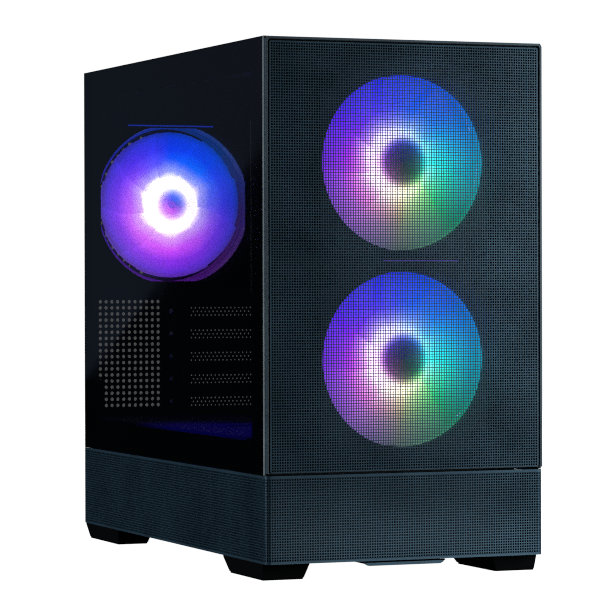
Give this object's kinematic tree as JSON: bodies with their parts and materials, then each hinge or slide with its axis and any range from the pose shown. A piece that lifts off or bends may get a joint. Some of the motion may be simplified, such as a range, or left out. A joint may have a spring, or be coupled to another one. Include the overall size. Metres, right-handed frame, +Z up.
{
  "type": "desktop computer tower",
  "caption": "Compact desktop computer tower with a tinted glass side, a fine mesh front, a wrapped mesh skirt, lit case fans and working insides.",
  "frame": {"origin": "on the ground, under the middle of the whole object", "axes": "+Z up, the mesh front faces -Y, the glass side faces -X"},
  "size_m": [0.232, 0.4558, 0.4135],
  "materials": {
    "steel_black": "fine-textured powder coat, near black",
    "mesh_black": "satin blue-black paint on perforated sheet",
    "bezel_black": "satin blue-black paint",
    "tinted_glass": "dark tint, polished, ground edges",
    "plastic_black": "fine moulded texture",
    "rubber_black": "soft matt",
    "frosted_blade": "frosted translucent",
    "port_metal": "pressed and plated",
    "button_metal": "satin, dark anodised",
    "screw_black": "black plated, knurled",
    "drive_metal": "cast and lacquered",
    "cooling_fins": "bare stamped fins",
    "memory_shroud": "bead blasted, dark anodised",
    "circuit_board": "solder mask",
    "socket_black": "moulded"
  },
  "bodies": {
    "chassis": {"floor_pan": "steel_black", "mesh_skirt": "mesh_black", "roof_panel": "steel_black", "top_io_strip": "plastic_black", "usb_port_1": "port_metal", "usb_port_2": "port_metal", "audio_jack": "plastic_black", "rear_panel": "steel_black", "slot_cover_1": "steel_black", "slot_cover_2": "steel_black", "slot_cover_3": "steel_black", "slot_cover_4": "steel_black", "slot_cover_5": "steel_black", "slot_rail": "steel_black", "front_wall": "steel_black", "motherboard_tray": "steel_black", "psu_shroud": "steel_black", "drive_cage": "steel_black", "hard_drive": "drive_metal", "solid_state_drive": "plastic_black", "front_fan_upper_frame": "plastic_black", "front_fan_lower_frame": "plastic_black", "rear_fan_frame": "plastic_black", "motherboard": "circuit_board", "memory_module_1": "memory_shroud", "memory_module_2": "memory_shroud", "chipset_heatsink": "memory_shroud", "card_slot_upper": "socket_black", "card_slot_lower": "socket_black", "board_power_socket": "socket_black", "io_block": "socket_black", "io_shield": "port_metal", "cpu_heatsink": "cooling_fins", "cpu_fan_frame": "plastic_black", "psu_case": "steel_black", "psu_inlet": "socket_black", "foot_front_left": "rubber_black", "foot_front_right": "rubber_black", "foot_rear_left": "rubber_black", "foot_rear_right": "rubber_black"},
    "front_panel": {"front_bezel": "bezel_black", "front_mesh": "mesh_black"},
    "glass_side": {"glass_panel": "tinted_glass", "glass_bracket_upper": "steel_black", "glass_bracket_lower": "steel_black"},
    "right_side": {"right_panel": "steel_black"},
    "top_filter": {"top_filter": "plastic_black"},
    "bottom_filter": {"bottom_filter": "plastic_black"},
    "power_button": {"power_button": "button_metal"},
    "reset_button": {"reset_button": "button_metal"},
    "front_fan_upper_rotor": {"front_fan_upper_rotor": "frosted_blade"},
    "front_fan_lower_rotor": {"front_fan_lower_rotor": "frosted_blade"},
    "rear_fan_rotor": {"rear_fan_rotor": "frosted_blade"},
    "cpu_fan_rotor": {"cpu_fan_rotor": "frosted_blade"},
    "psu_fan_rotor": {"psu_fan_rotor": "plastic_black"},
    "psu_switch": {"psu_switch": "plastic_black"},
    "thumb_screw_left_upper": {"thumb_screw_left_upper": "screw_black"},
    "thumb_screw_left_lower": {"thumb_screw_left_lower": "screw_black"},
    "thumb_screw_right_upper": {"thumb_screw_right_upper": "screw_black"},
    "thumb_screw_right_lower": {"thumb_screw_right_lower": "screw_black"}
  },
  "joints": [
    {"name": "front_panel_pull", "type": "slide", "parent": "chassis", "child": "front_panel", "axis": [0, -1, 0], "range_m": [0, 0.08]},
    {"name": "glass_side_pull", "type": "slide", "parent": "chassis", "child": "glass_side", "axis": [-1, 0, 0], "range_m": [0, 0.12]},
    {"name": "right_side_slide", "type": "slide", "parent": "chassis", "child": "right_side", "axis": [0, 1, 0], "range_m": [0, 0.3]},
    {"name": "top_filter_lift", "type": "slide", "parent": "chassis", "child": "top_filter", "axis": [0, 0, 1], "range_m": [0, 0.06]},
    {"name": "bottom_filter_slide", "type": "slide", "parent": "chassis", "child": "bottom_filter", "axis": [0, -1, 0], "range_m": [0, 0.38]},
    {"name": "power_button_press", "type": "slide", "parent": "chassis", "child": "power_button", "axis": [0, 0, -1], "range_m": [0, 0.0015], "stiffness_N_per_m": 400, "springref_m": -0.001},
    {"name": "reset_button_press", "type": "slide", "parent": "chassis", "child": "reset_button", "axis": [0, 0, -1], "range_m": [0, 0.0015], "stiffness_N_per_m": 300, "springref_m": -0.001},
    {"name": "psu_switch_rock", "type": "hinge", "parent": "chassis", "child": "psu_switch", "pos_m": [-0.062, 0.2194, 0.075], "axis": [1, 0, 0], "range_deg": [0, 16]},
    {"name": "front_fan_upper_spin", "type": "hinge", "parent": "chassis", "child": "front_fan_upper_rotor", "pos_m": [0.005, -0.1999, 0.319], "axis": [0, 1, 0], "continuous": true},
    {"name": "front_fan_lower_spin", "type": "hinge", "parent": "chassis", "child": "front_fan_lower_rotor", "pos_m": [0.005, -0.1999, 0.1666], "axis": [0, 1, 0], "continuous": true},
    {"name": "rear_fan_spin", "type": "hinge", "parent": "chassis", "child": "rear_fan_rotor", "pos_m": [-0.041, 0.2071, 0.296], "axis": [0, 1, 0], "continuous": true},
    {"name": "cpu_fan_spin", "type": "hinge", "parent": "chassis", "child": "cpu_fan_rotor", "pos_m": [0.036, 0.1341, 0.295], "axis": [1, 0, 0], "continuous": true},
    {"name": "psu_fan_spin", "type": "hinge", "parent": "chassis", "child": "psu_fan_rotor", "pos_m": [0.001, 0.1491, 0.033], "axis": [0, 0, 1], "continuous": true},
    {"name": "thumb_screw_left_upper_turn", "type": "hinge", "parent": "glass_side", "child": "thumb_screw_left_upper", "pos_m": [-0.1037, 0.2251, 0.388], "axis": [0, 1, 0], "continuous": true},
    {"name": "thumb_screw_left_lower_turn", "type": "hinge", "parent": "glass_side", "child": "thumb_screw_left_lower", "pos_m": [-0.1037, 0.2251, 0.125], "axis": [0, 1, 0], "continuous": true},
    {"name": "thumb_screw_right_upper_turn", "type": "hinge", "parent": "right_side", "child": "thumb_screw_right_upper", "pos_m": [0.106, 0.2251, 0.388], "axis": [0, 1, 0], "continuous": true},
    {"name": "thumb_screw_right_lower_turn", "type": "hinge", "parent": "right_side", "child": "thumb_screw_right_lower", "pos_m": [0.106, 0.2251, 0.125], "axis": [0, 1, 0], "continuous": true}
  ]
}
